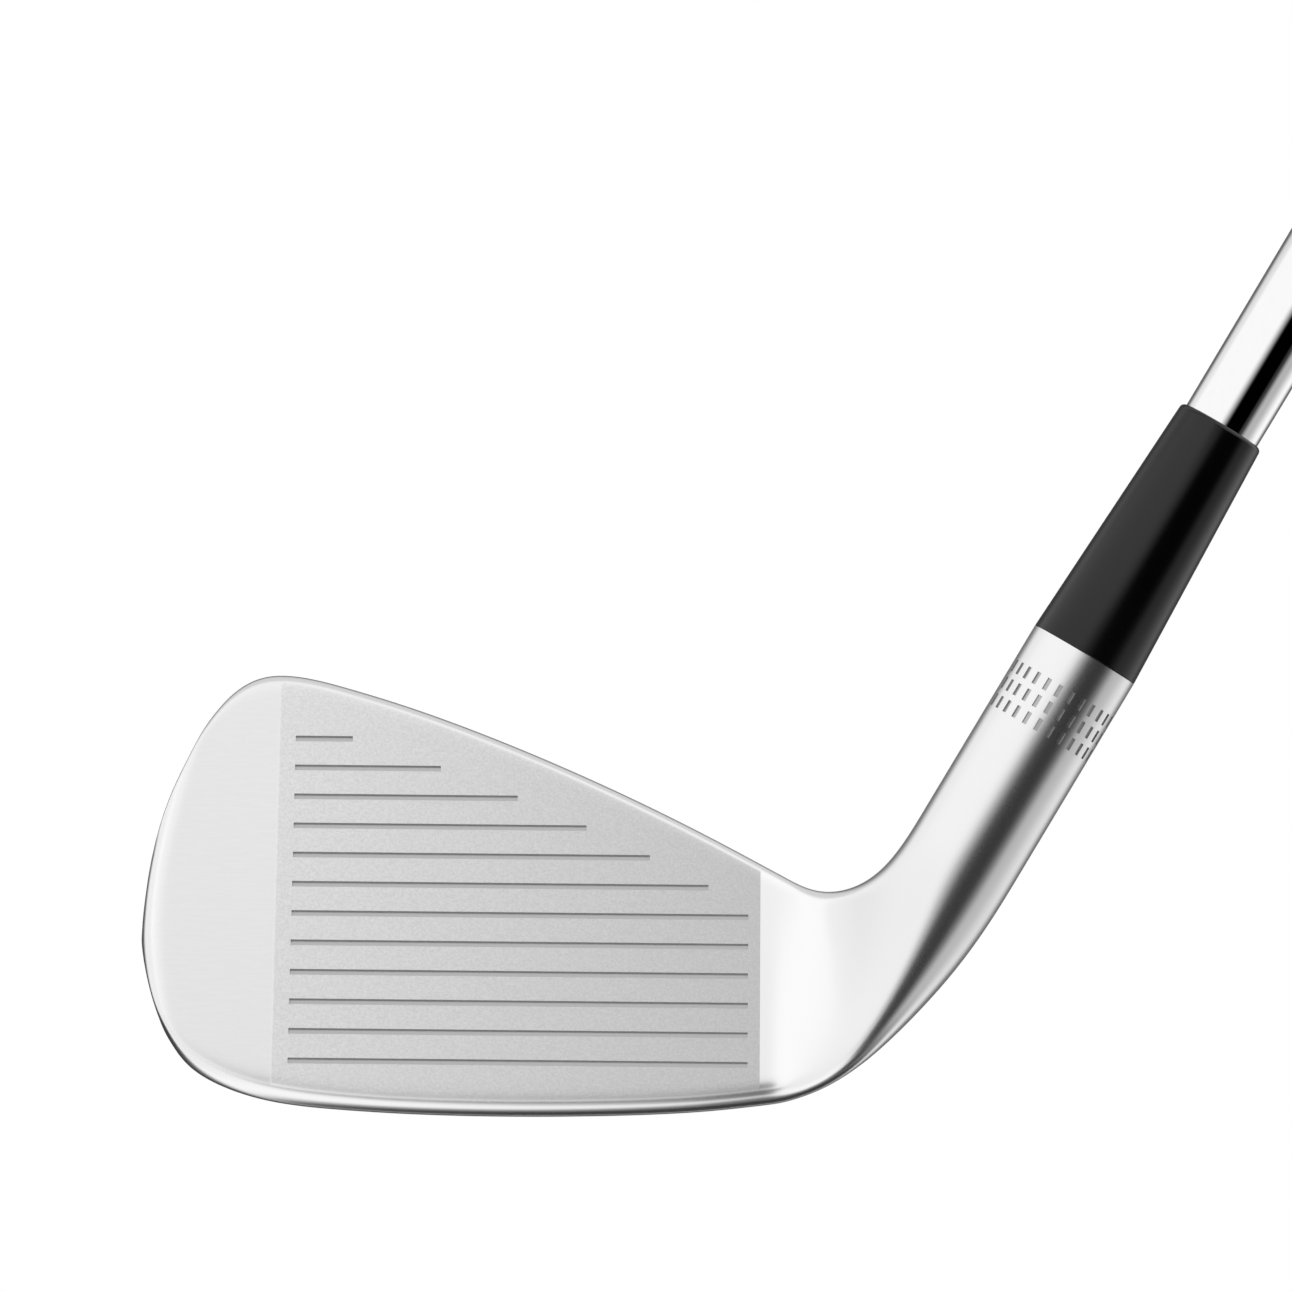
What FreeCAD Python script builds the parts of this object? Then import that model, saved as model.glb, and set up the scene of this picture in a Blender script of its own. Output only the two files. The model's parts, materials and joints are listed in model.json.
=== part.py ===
import FreeCAD, Part
import math
import os

# Iron golf club, right-handed, standing at address.  Millimetres.
# Origin: where the shaft axis meets the ground.  +X runs along the grooves from toe to heel,
# the face looks to -Y and leans back, +Z is up.  The shaft axis lies in the XZ plane.

V = FreeCAD.Vector

# ---- set-up of the club
LIE = math.radians(59.6)            # shaft to ground
LOFT = math.radians(22.0)           # face to shaft plane
CLUB_LENGTH = 990.0                 # ground to grip end, along the shaft

# ---- head: blade
FACE_Y = -5.04                      # where the face plane meets the ground, front to back
EDGE_R = 1.8                        # rounding of the perimeter
LEADING_R = 1.9                     # rounding of the leading edge
LEADING_TOE_R = 3.0                 # and at the toe, where it is blunter
TOPLINE_T = 5.2                     # thickness of the topline
TOE_T = 7.2                         # thickness at the toe
SOLE_BACK_Y = 13.1                  # rearmost point of the sole
SOLE_CAMBER_R = 357.0               # heel to toe
SOLE_LOW_X = -34.6                  # lowest point of the sole, heel to toe
TOPLINE_HEEL_Z = 29.4               # topline height at the last blade cut
TOPLINE_RISE = 0.542                # its slope toward the toe there
TOPLINE_CROWN = 0.0025              # and how that slope eases off
TOE_X = -77.4                       # toe-most point
TOE_MID_Z = 21.0                    # and its height
HEEL_CUT_X = -4.5                   # last plain cut of the blade
BLADE_CUTS_X = (-45.0, -34.0, -22.0, -12.0, HEEL_CUT_X)
CUT_MUSCLE = (1.0, 1.0, 1.0, 0.7, 0.3)  # how full the muscle of the back is at each of them
HEEL_LIFT = 0.4                     # how far the sole has lifted at the last blade cut
# a toe ring: x at its foot, at mid height and at its top, then foot and top heights
TOE_RINGS = ((-75.5, -77.4, -77.0, 11.0, 32.0),
             (-73.6, -76.5, -71.6, 8.0, 43.0),
             (-71.0, -74.7, -70.1, 4.4, 46.0),
             (-62.9, -70.5, -64.4, 1.3, 52.7))
TOE_SHARE = (1.0, 0.85, 0.6, 0.3)   # how far each ring is toe rather than muscle back
TOE_PINCH = 0.62                    # the first ring is thinner, inside the edge rounding
SHOULDER_X, SHOULDER_TOP_Z = -53.2, 49.7
SHOULDER_LIFT, SHOULDER_TOE = 0.1, 0.08
# poles of a cut: shares of its height up the face
FACE_POLES = (0.50, 0.72)
# down the back: share of the height, and depth beyond the topline's thickness
BACK_POLES = ((0.80, -0.2), (0.68, -0.5), (0.58, -0.2), (0.50, 2.4))
# round the rear: place behind the rearmost point, share of the height, height above the sole
REAR_POLES = ((-1.6, 0.30, 0.0), (-0.5, 0.17, 0.8), (0.0, 0.0, 4.2), (-0.6, 0.0, 1.4))
# along the sole: share of the way from there to the leading edge, height
SOLE_POLES = ((0.15, 0.55), (0.32, 0.15), (0.51, -0.05), (0.70, -0.05), (0.875, 0.0))
TOP_BACK_SPREAD = 1.3               # the topline's back edge is rounded more widely than its front
LEADING_LIFT = 0.02

# ---- head: hosel
HOSEL_R = 6.65
HOSEL_TOP = 62.7                    # all hosel and shaft stations are measured along the axis
HOSEL_RINGS = (38.0, 44.5, 54.0, HOSEL_TOP)
BORE_BOTTOM = 30.0
BLEND_BLADE = (7.5, 8.0, 11.0)      # how far the blade runs on: crotch, front and back, heel
BLEND_HOSEL = (9.3, 10.5, 14.0)     # how far the hosel runs down: crotch, front and back, heel
# a window is the direction round the axis from the crotch and its reach either side, in degrees
FRONT_RUN = 4.0                     # how much further the hosel runs down at the front of the heel
FRONT_RUN_OVER = (242.0, 69.0)
FRONT_HOLD = (240.0, 85.0)          # where the end of the blade already lies on the hosel's round
HEEL_PLAIN = 0.3                    # share of the blade's run that stays a plain blade
HEEL_RISE = 4.2                     # how far the end of the blade lifts at the heel
HEEL_RISE_OVER = (200.0, 100.0)
RING_POLES = 26
CROTCH_POLE = 5

# ---- face scorelines
GROOVES = 12
GROOVE_PITCH = 3.63
GROOVE_FIRST_H = 6.85               # lowest groove, up the face from the ground line
GROOVE_W, GROOVE_FLOOR_W, GROOVE_DEPTH = 0.7, 0.44, 0.3
GROOVE_TOE_X, GROOVE_HEEL_X = -59.9, -6.8
GROOVE_CLEAR = 6.5                  # a groove ends where the topline is this far above it
HIT_TOE_X, HIT_HEEL_X = -61.8, -5.4  # ends of the milled hitting area
MILL_DEPTH = 0.03                   # how far it is sunk into the face
CUT_CLEAR = 1.0                     # how far a groove cutter stands out of the face
SLAB_BELOW, SLAB_ABOVE, SLAB_T = -10.0, 70.0, 10.0

# ---- ticks round the hosel
TICK_ROWS, TICKS_ROUND = 3, 27
TICK_L, TICK_W, TICK_DEPTH = 1.5, 0.55, 0.2
TICK_TURN = -4.0                    # degrees from the crotch side to the first tick
TICK_ROW_PITCH = 2.25
TICK_FIRST = 56.7                   # start of the top row

# ---- shaft
TIP_S = 31.0
TIP_R = 4.51
TIP_TAPER = 0.00375                 # radius gained for each millimetre of length
STEPS = 14
FIRST_STEP_S, STEP_PITCH = 215.0, 32.0
STEP_LENGTH = 2.0                   # each step is a short cone
BUTT_R = 7.62
TIP_WALL, BUTT_WALL = 0.65, 0.3
GLUE_T = 0.1
TIP_WEIGHT_L = 22.0

# ---- ferrule
FERRULE_L = 30.9
FERRULE_TOP_R = 5.3
FERRULE_EDGE_R = 0.5
FERRULE_GAP = 0.03

# ---- shaft band, grip and tape
BAND_S, BAND_L, BAND_T = 650.0, 48.0, 0.12
GRIP_L = 270.0
GRIP_MOUTH_R = 9.4
GRIP_BUTT_R = 13.2
GRIP_LIP_R = 0.8
GRIP_SWELL = ((0.3, 0.9), (0.75, 2.8))  # share of the grip's length, radius gained by there
TAPE_T = 0.18
TAPE_SHORT = 6.0                    # the tape stops this far inside the grip's mouth
CAP_R, CAP_T, CAP_EDGE_R = 15.2, 5.0, 2.0
CAP_STEM_L = 8.0                    # part of the cap that sits inside the shaft
CAP_CLEAR = 0.1
VENT_R = 1.8
SHAFT_END = CLUB_LENGTH - CAP_T

# poles of a rounded corner in a uniform cubic, as shares of its radius
CORNER_NEAR, CORNER_FAR = 0.576, 1.42
LEAD_NEAR, LEAD_FAR = 0.874, 1.92   # the same for the blunter corner under the face

AXIS = V(math.cos(LIE), 0, math.sin(LIE))
ACROSS = V(-math.sin(LIE), 0, math.cos(LIE))
SHAFT_TURN = FreeCAD.Rotation(V(0, 0, 1), AXIS)


def on_face(height, depth):
    """Point (y, z) that far up the face and that far behind it."""
    return (FACE_Y + height * math.sin(LOFT) + depth * math.cos(LOFT),
            height * math.cos(LOFT) - depth * math.sin(LOFT))


def face_y(z):
    return FACE_Y + z * math.tan(LOFT)


def blade_cut(x_at, sole_z, top_z, toe=0.0, lead=LEADING_R, muscle=1.0):
    """Poles of one cut through the blade, going up the face, over the top and down the back."""
    foot, top = sole_z / math.cos(LOFT), top_z / math.cos(LOFT)
    tall = top - foot
    near, far = CORNER_NEAR * EDGE_R, CORNER_FAR * EDGE_R
    thick = TOPLINE_T + (TOE_T - TOPLINE_T) * toe
    corner_y = face_y(sole_z)
    near_lead, far_lead = LEAD_NEAR * lead, LEAD_FAR * lead

    upper_face = [on_face(foot + share * tall, 0) for share in FACE_POLES]
    top_edge = [on_face(top - far, 0), on_face(top - near, 0),
                on_face(top, near), on_face(top, thick / 2), on_face(top, thick - near),
                on_face(top - near, thick), on_face(top - TOP_BACK_SPREAD * far, thick)]
    back = [on_face(foot + share * tall, thick + bulge * muscle * (1 - toe)) for share, bulge in BACK_POLES]
    rear = []
    for behind, share, lift in REAR_POLES:
        z = sole_z + share * tall + lift
        muscle_y, toe_y = SOLE_BACK_Y + behind, face_y(z) + thick / math.cos(LOFT)
        rear.append((muscle_y + toe * (toe_y - muscle_y), z))
    sole_rear, sole_front = rear[-1][0], corner_y + near_lead
    sole = [(sole_rear + share * (sole_front - sole_rear), sole_z + lift) for share, lift in SOLE_POLES]
    leading_edge = [(sole_front, sole_z + LEADING_LIFT), on_face(foot + near_lead, 0),
                    on_face(foot + far_lead, 0)]
    lower_face = [on_face(foot + (far_lead + FACE_POLES[0] * tall) / 2, 0)]
    return [V(x_at(z), y, z)
            for y, z in upper_face + top_edge + back + rear + sole + leading_edge + lower_face]


def toe_cut(foot_x, mid_x, top_x, foot_z, top_z, toe):
    """A blade cut bowed outward so that its edge follows the toe."""
    def x_at(z):
        if z > TOE_MID_Z:
            return mid_x + (top_x - mid_x) * min((z - TOE_MID_Z) / (top_z - TOE_MID_Z), 1.0) ** 2
        return mid_x + (foot_x - mid_x) * min((TOE_MID_Z - z) / (TOE_MID_Z - foot_z), 1.0) ** 2
    return blade_cut(x_at, foot_z, top_z, toe, LEADING_R + toe * (LEADING_TOE_R - LEADING_R))


def pinched(row):
    """The same cut, drawn in toward the middle of its thickness."""
    middle = TOE_T / 2
    drawn = []
    for p in row:
        depth = (p.y - face_y(p.z)) * math.cos(LOFT)
        shift = (middle - depth) * (1 - TOE_PINCH)
        drawn.append(V(p.x, p.y + shift / math.cos(LOFT), p.z))
    return drawn


def hosel_ring(station):
    """Poles of a circle round the shaft axis; pole CROTCH_POLE is on the crotch side."""
    step = 2 * math.pi / RING_POLES
    reach = 3 * HOSEL_R / (2 + math.cos(step))
    ring = []
    for pole in range(RING_POLES):
        turn = (pole - CROTCH_POLE) * step
        ring.append(AXIS * station + ACROSS * (reach * math.cos(turn)) + V(0, reach * math.sin(turn), 0))
    return ring


def round_share(pole, crotch, side, heel):
    """One length for the crotch, one for front and back, one for the heel, eased between them."""
    lean = math.cos((pole - CROTCH_POLE) * 2 * math.pi / RING_POLES)
    other = crotch if lean > 0 else heel
    return side + (other - side) * lean ** 2


def window(pole, centre, reach):
    """Share for a pole: 1 in the window's direction, easing to 0 at its reach."""
    off = math.remainder((pole - CROTCH_POLE) * 360 / RING_POLES - centre, 360)
    if abs(off) > reach:
        return 0.0
    return math.cos(math.radians(90 * off / reach)) ** 2


def topline_z(x):
    """Height of the blade's upper corner between the heel cut and the shoulder."""
    out = HEEL_CUT_X - x
    return TOPLINE_HEEL_Z + TOPLINE_RISE * out - TOPLINE_CROWN * out ** 2


def topline_x(z):
    """Where the topline is that high; the other way round from topline_z."""
    climb = z - TOPLINE_HEEL_Z
    return HEEL_CUT_X - (TOPLINE_RISE - math.sqrt(TOPLINE_RISE ** 2 - 4 * TOPLINE_CROWN * climb)) \
        / (2 * TOPLINE_CROWN)


def head_rows():
    """The control net of the head, from the toe to the top of the hosel."""
    toe_point = V(TOE_X, *on_face(TOE_MID_Z / math.cos(LOFT), TOE_T / 2))
    rows = [[toe_point] * RING_POLES]
    for ring, toe in zip(TOE_RINGS, TOE_SHARE):
        rows.append(toe_cut(*ring, toe))
    rows[1] = pinched(rows[1])

    def sole_z(x):
        return (x - SOLE_LOW_X) ** 2 / (2 * SOLE_CAMBER_R)

    def flat(x):
        return lambda z: x

    rows.append(blade_cut(flat(SHOULDER_X), sole_z(SHOULDER_X) + SHOULDER_LIFT, SHOULDER_TOP_Z, SHOULDER_TOE))
    for x, muscle in zip(BLADE_CUTS_X, CUT_MUSCLE):
        lift = HEEL_LIFT if x == HEEL_CUT_X else 0.0
        rows.append(blade_cut(flat(x), sole_z(x) + lift, topline_z(x), muscle=muscle))

    before, last, ring = rows[-2], rows[-1], hosel_ring(0)
    plain, blade_end, hosel_end = [], [], []
    for pole in range(RING_POLES):
        onward = (last[pole] - before[pole]).normalize() * round_share(pole, *BLEND_BLADE)
        plain.append(last[pole] + onward * HEEL_PLAIN)
        end = last[pole] + onward
        on_hosel = ring[pole] + AXIS * end.dot(AXIS)
        end += (on_hosel - end) * window(pole, *FRONT_HOLD)
        blade_end.append(end + V(0, 0, HEEL_RISE * window(pole, *HEEL_RISE_OVER)))
        run = round_share(pole, *BLEND_HOSEL) + FRONT_RUN * window(pole, *FRONT_RUN_OVER)
        hosel_end.append(ring[pole] + AXIS * (HOSEL_RINGS[0] - run))
    return rows + [plain, blade_end, hosel_end] + [hosel_ring(s) for s in HOSEL_RINGS]


def head_blank():
    """Solid inside the skin, closed at the hosel top by a flat ring face."""
    rows = head_rows()
    spans = len(rows) - 3
    skin = Part.BSplineSurface()
    skin.buildFromPolesMultsKnots(rows, [4] + [1] * (spans - 1) + [4], [1] * (RING_POLES + 1),
                                  list(range(spans + 1)), list(range(RING_POLES + 1)),
                                  False, True, 3, 3)
    face = skin.toShape()
    rim = max(face.Edges, key=lambda edge: edge.BoundBox.Center.z)
    shell = Part.makeShell([face, Part.Face(Part.Wire([rim]))])
    shell.sewShape()
    return Part.makeSolid(shell)


def along_shaft(shape):
    """Stand a shape drawn round the Z axis on the shaft axis."""
    shape.Placement = FreeCAD.Placement(V(0, 0, 0), SHAFT_TURN)
    return shape


def turned(profile):
    """Solid of revolution from (radius, station) points, stood on the shaft axis."""
    points = [V(r, 0, s) for r, s in profile]
    wire = Part.makePolygon(points + points[:1])
    return along_shaft(Part.Face(wire).revolve(V(0, 0, 0), V(0, 0, 1), 360))


def hitting_area():
    """Slab whose back plane mills the flat hitting area."""
    outline = [(SLAB_BELOW, -SLAB_T), (SLAB_ABOVE, -SLAB_T), (SLAB_ABOVE, MILL_DEPTH),
               (SLAB_BELOW, MILL_DEPTH)]
    points = [V(HIT_TOE_X, *on_face(h, d)) for h, d in outline]
    return Part.Face(Part.makePolygon(points + points[:1])).extrude(V(HIT_HEEL_X - HIT_TOE_X, 0, 0))


def groove_cutters():
    """One tapered bar for each scoreline."""
    bars = []
    half, floor = GROOVE_W / 2, GROOVE_FLOOR_W / 2
    for row in range(GROOVES):
        height = GROOVE_FIRST_H + row * GROOVE_PITCH
        below_topline = height * math.cos(LOFT) + GROOVE_CLEAR
        heel_x = GROOVE_HEEL_X
        if below_topline > topline_z(GROOVE_HEEL_X):
            heel_x = topline_x(below_topline)
        outline = [(-half, 0), (-half, -CUT_CLEAR), (half, -CUT_CLEAR), (half, 0),
                   (floor, GROOVE_DEPTH), (-floor, GROOVE_DEPTH)]
        points = [V(GROOVE_TOE_X, *on_face(height + h, d)) for h, d in outline]
        wire = Part.makePolygon(points + points[:1])
        bars.append(Part.Face(wire).extrude(V(heel_x - GROOVE_TOE_X, 0, 0)))
    return bars


def tick_cutters():
    """Short slots standing along the hosel, three rows of them."""
    slots = []
    for row in range(TICK_ROWS):
        top = TICK_FIRST + TICK_L - row * TICK_ROW_PITCH
        for place in range(TICKS_ROUND):
            slot = Part.makeBox(2 * TICK_DEPTH, TICK_W, TICK_L,
                                V(HOSEL_R - TICK_DEPTH, -TICK_W / 2, top - TICK_L))
            slot.rotate(V(0, 0, 0), V(0, 0, 1), TICK_TURN + 360.0 * place / TICKS_ROUND)
            slots.append(slot)
    return along_shaft(Part.makeCompound(slots))


def shaft_radius(station):
    """Outer radius of the shaft; the steps come after the tapered tip."""
    if station <= FIRST_STEP_S:
        return TIP_R + (station - TIP_S) * TIP_TAPER
    tip_end = TIP_R + (FIRST_STEP_S - TIP_S) * TIP_TAPER
    done = min(int((station - FIRST_STEP_S) // STEP_PITCH) + 1, STEPS)
    return tip_end + (BUTT_R - tip_end) * done / STEPS


def make_head():
    bore = turned([(0, BORE_BOTTOM), (shaft_radius(BORE_BOTTOM) + GLUE_T, BORE_BOTTOM),
                   (shaft_radius(HOSEL_TOP) + GLUE_T, HOSEL_TOP), (0, HOSEL_TOP)])
    milled = head_blank().cut(bore).cut(hitting_area())
    return milled.cut(Part.makeCompound(groove_cutters())).cut(tick_cutters())


def make_glue():
    """Epoxy filling the gap between the shaft tip and the bore, and the bottom of the bore."""
    low, high = shaft_radius(BORE_BOTTOM), shaft_radius(HOSEL_TOP)
    return turned([(0, BORE_BOTTOM), (low + GLUE_T, BORE_BOTTOM), (high + GLUE_T, HOSEL_TOP),
                   (high, HOSEL_TOP), (TIP_R, TIP_S), (0, TIP_S)])


def shaft_outline():
    """Outside of the shaft from the tip to the butt, with its short cones at the steps."""
    points = [(TIP_R, TIP_S), (shaft_radius(FIRST_STEP_S), FIRST_STEP_S)]
    for step in range(STEPS):
        start = FIRST_STEP_S + step * STEP_PITCH
        after = shaft_radius(start + STEP_LENGTH)
        points += [(after, start + STEP_LENGTH), (after, start + STEP_PITCH)]
    points[-1] = (BUTT_R, SHAFT_END)
    return points


def make_shaft():
    outside = shaft_outline()
    inside = [(TIP_R - TIP_WALL, TIP_S), (shaft_radius(FIRST_STEP_S) - TIP_WALL, FIRST_STEP_S),
              (BUTT_R - BUTT_WALL, FIRST_STEP_S + STEPS * STEP_PITCH), (BUTT_R - BUTT_WALL, SHAFT_END)]
    return turned(outside + inside[::-1])


def make_tip_weight():
    r = TIP_R - TIP_WALL
    return turned([(0, TIP_S), (r, TIP_S), (r + TIP_TAPER * TIP_WEIGHT_L, TIP_S + TIP_WEIGHT_L),
                   (0, TIP_S + TIP_WEIGHT_L)])


def make_ferrule():
    """Tapered sleeve resting on the hosel, its upper rim rounded."""
    top = HOSEL_TOP + FERRULE_L
    sleeve = turned([(shaft_radius(HOSEL_TOP) + FERRULE_GAP, HOSEL_TOP), (HOSEL_R, HOSEL_TOP),
                     (FERRULE_TOP_R, top), (shaft_radius(top) + FERRULE_GAP, top)])
    rim = [e for e in sleeve.Edges if len(e.Vertexes) == 1
           and abs(e.Length - 2 * math.pi * FERRULE_TOP_R) < 0.01]
    return sleeve.makeFillet(FERRULE_EDGE_R, rim)


def make_band():
    return turned([(BUTT_R, BAND_S), (BUTT_R + BAND_T, BAND_S),
                   (BUTT_R + BAND_T, BAND_S + BAND_L), (BUTT_R, BAND_S + BAND_L)])


def make_tape():
    start = CLUB_LENGTH - GRIP_L + TAPE_SHORT
    return turned([(BUTT_R, start), (BUTT_R + TAPE_T, start),
                   (BUTT_R + TAPE_T, SHAFT_END), (BUTT_R, SHAFT_END)])


def make_sleeve():
    """Rubber grip, swelling toward the butt along a smooth curve."""
    mouth, end = CLUB_LENGTH - GRIP_L, CLUB_LENGTH - CAP_T
    bare, taped = BUTT_R, BUTT_R + TAPE_T
    swell = Part.BSplineCurve()
    between = [V(GRIP_MOUTH_R + gain, 0, mouth + share * (end - mouth)) for share, gain in GRIP_SWELL]
    swell.interpolate([V(GRIP_MOUTH_R, 0, mouth + GRIP_LIP_R)] + between + [V(GRIP_BUTT_R, 0, end)])
    corners = [V(GRIP_BUTT_R, 0, end), V(taped, 0, end), V(taped, 0, mouth + TAPE_SHORT),
               V(bare, 0, mouth + TAPE_SHORT), V(bare, 0, mouth), V(GRIP_MOUTH_R - GRIP_LIP_R, 0, mouth),
               V(GRIP_MOUTH_R, 0, mouth + GRIP_LIP_R)]
    edges = [swell.toShape()] + [Part.makeLine(a, b) for a, b in zip(corners, corners[1:])]
    face = Part.Face(Part.Wire(Part.__sortEdges__(edges)))
    return along_shaft(face.revolve(V(0, 0, 0), V(0, 0, 1), 360))


def make_cap():
    """Butt cap: a rounded disc with a stem inside the sleeve and a vent hole through both."""
    stem_r = BUTT_R - BUTT_WALL - CAP_CLEAR
    disc_s = CLUB_LENGTH - CAP_T
    cap = turned([(VENT_R, disc_s - CAP_STEM_L), (stem_r, disc_s - CAP_STEM_L), (stem_r, disc_s),
                  (CAP_R, disc_s), (CAP_R, CLUB_LENGTH), (VENT_R, CLUB_LENGTH)])
    rim = [e for e in cap.Edges if len(e.Vertexes) == 1
           and abs(e.Length - 2 * math.pi * CAP_R) < 0.01]
    return cap.makeFillet(CAP_EDGE_R, rim)


NODES = {
    "head": make_head,
    "hosel_glue": make_glue,
    "tip_weight": make_tip_weight,
    "ferrule": make_ferrule,
    "shaft": make_shaft,
    "shaft_band": make_band,
    "grip_tape": make_tape,
    "grip_sleeve": make_sleeve,
    "butt_cap": make_cap,
}

os.makedirs("parts", exist_ok=True)
for name, make in NODES.items():
    shape = make()
    print(name, shape.ShapeType, len(shape.Solids), shape.isValid(), round(shape.Volume / 1000, 3))
    shape.exportStep("parts/" + name + ".step")
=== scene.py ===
import json
import math

import bmesh
import bpy
import numpy as np
from mathutils import Matrix, Vector


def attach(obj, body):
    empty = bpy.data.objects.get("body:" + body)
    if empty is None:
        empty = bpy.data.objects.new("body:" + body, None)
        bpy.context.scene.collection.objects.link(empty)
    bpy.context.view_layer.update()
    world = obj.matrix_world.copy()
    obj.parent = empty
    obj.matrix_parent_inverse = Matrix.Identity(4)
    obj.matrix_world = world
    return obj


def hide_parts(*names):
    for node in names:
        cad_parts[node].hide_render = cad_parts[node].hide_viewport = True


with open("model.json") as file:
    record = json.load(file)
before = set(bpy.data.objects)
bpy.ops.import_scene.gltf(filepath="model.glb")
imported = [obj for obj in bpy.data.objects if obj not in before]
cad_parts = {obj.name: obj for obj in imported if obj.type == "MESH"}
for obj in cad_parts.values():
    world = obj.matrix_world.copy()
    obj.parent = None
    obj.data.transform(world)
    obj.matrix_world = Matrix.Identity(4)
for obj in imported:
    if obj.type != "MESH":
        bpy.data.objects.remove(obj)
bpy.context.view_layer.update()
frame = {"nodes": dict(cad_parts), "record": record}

# Lengths are in millimetres up to the moment a mesh is made, then metres, as the frame is.
MM = 0.001


# ---------------------------------------------------------------- the frame's own directions
def mount(name):
    return next(m for m in frame["record"]["mounts"] if m["name"] == name)


AXIS = np.array(mount("cap_vent")["axis"])              # up the shaft
ACROSS = np.array([-AXIS[2], 0.0, AXIS[0]])             # square to it, toward the crotch
FRONT = np.array([0.0, 1.0, 0.0])
face_normal = mount("strike_face")["axis"]
LOFT = math.atan2(face_normal[2], -face_normal[1])


def measured(node):
    """First and last station of a CAD node along the shaft, and its largest radius, in mm."""
    points = np.array([v.co for v in frame["nodes"][node].data.vertices]) / MM
    along = points @ AXIS
    radius = np.linalg.norm(points - np.outer(along, AXIS), axis=1)
    return along.min(), along.max(), radius.max()


# ---------------------------------------------------------------- head: driving dimensions
FACE_Y = -5.04                      # where the face plane meets the ground, front to back
EDGE_R = 1.8                        # rounding of the perimeter
LEADING_R = 1.9                     # rounding of the leading edge
LEADING_TOE_R = 3.0                 # and at the toe, where it is blunter
TOPLINE_T = 5.2                     # thickness of the topline
TOE_T = 7.2                         # thickness at the toe
SOLE_BACK_Y = 13.1                  # rearmost point of the sole
SOLE_CAMBER_R = 357.0               # heel to toe
SOLE_LOW_X = -34.6                  # lowest point of the sole, heel to toe
TOPLINE_HEEL_Z = 29.4               # topline height at the last blade cut
TOPLINE_RISE = 0.542                # its slope toward the toe there
TOPLINE_CROWN = 0.0025              # and how that slope eases off
TOE_X = -77.4                       # toe-most point
TOE_MID_Z = 21.0                    # and its height
HEEL_CUT_X = -4.5                   # last plain cut of the blade
BLADE_CUTS_X = (-45.0, -34.0, -22.0, -12.0, HEEL_CUT_X)
CUT_MUSCLE = (1.0, 1.0, 1.0, 0.7, 0.3)  # how full the muscle of the back is at each of them
HEEL_LIFT = 0.4                     # how far the sole has lifted at the last blade cut
# a toe ring: x at its foot, at mid height and at its top, then foot and top heights
TOE_RINGS = ((-75.5, -77.4, -77.0, 11.0, 32.0),
             (-73.6, -76.5, -71.6, 8.0, 43.0),
             (-71.0, -74.7, -70.1, 4.4, 46.0),
             (-62.9, -70.5, -64.4, 1.3, 52.7))
TOE_SHARE = (1.0, 0.85, 0.6, 0.3)   # how far each ring is toe rather than muscle back
TOE_PINCH = 0.62                    # the first ring is thinner, inside the edge rounding
SHOULDER_X, SHOULDER_TOP_Z = -53.2, 49.7
SHOULDER_LIFT, SHOULDER_TOE = 0.1, 0.08
# poles of a cut: shares of its height up the face
FACE_POLES = (0.50, 0.72)
# down the back: share of the height, and depth beyond the topline's thickness
BACK_POLES = ((0.80, -0.2), (0.68, -0.5), (0.58, -0.2), (0.50, 2.4))
# round the rear: place behind the rearmost point, share of the height, height above the sole
REAR_POLES = ((-1.6, 0.30, 0.0), (-0.5, 0.17, 0.8), (0.0, 0.0, 4.2), (-0.6, 0.0, 1.4))
# along the sole: share of the way from there to the leading edge, height
SOLE_POLES = ((0.15, 0.55), (0.32, 0.15), (0.51, -0.05), (0.70, -0.05), (0.875, 0.0))
TOP_BACK_SPREAD = 1.3               # the topline's back edge is rounded more widely than its front
LEADING_LIFT = 0.02                 # height of the sole's front end over its low line
HOSEL_R = 6.65
HOSEL_TOP = measured("ferrule")[0]  # stations are measured along the shaft axis
HOSEL_RINGS = (38.0, 44.5, 54.0, HOSEL_TOP)
BLEND_BLADE = (7.5, 8.0, 11.0)      # how far the blade runs on: crotch, front and back, heel
BLEND_HOSEL = (9.3, 10.5, 14.0)     # how far the hosel runs down: crotch, front and back, heel
# a window is the direction round the axis from the crotch and its reach either side, in degrees
FRONT_RUN = 4.0                     # how much further the hosel runs down at the front of the heel
FRONT_RUN_OVER = (242.0, 69.0)
FRONT_HOLD = (240.0, 85.0)          # where the end of the blade already lies on the hosel's round
HEEL_PLAIN = 0.3                    # share of the blade's run that stays a plain blade
HEEL_RISE = 4.2                     # how far the end of the blade lifts at the heel
HEEL_RISE_OVER = (200.0, 100.0)
RING_POLES = 26
CROTCH_POLE = 5
# poles of a rounded corner, as shares of its radius; the second pair is for the leading edge
CORNER_NEAR, CORNER_FAR = 0.576, 1.42
LEAD_NEAR, LEAD_FAR = 0.874, 1.92

GROOVES = 12
GROOVE_PITCH = 3.63
GROOVE_FIRST_H = 6.85
GROOVE_W, GROOVE_FLOOR_W, GROOVE_DEPTH = 0.7, 0.44, 0.3
GROOVE_TOE_X, GROOVE_HEEL_X = -59.9, -6.8
GROOVE_CLEAR = 6.5
CUT_CLEAR = 1.0                     # how far a cutter stands out of the steel
HIT_TOE_X, HIT_HEEL_X = -61.8, -5.4  # ends of the blasted hitting area
HIT_TOE_SOFT, HIT_HEEL_SOFT = 0.15, 0.05  # and how gradually its finish ends there
ON_PLANE = 0.03                     # this near the face's plane the face has its own finish
BLAST_OFF, BRUSH_OFF = 0.12, 0.25   # and this far from it the finish has faded out

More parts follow.
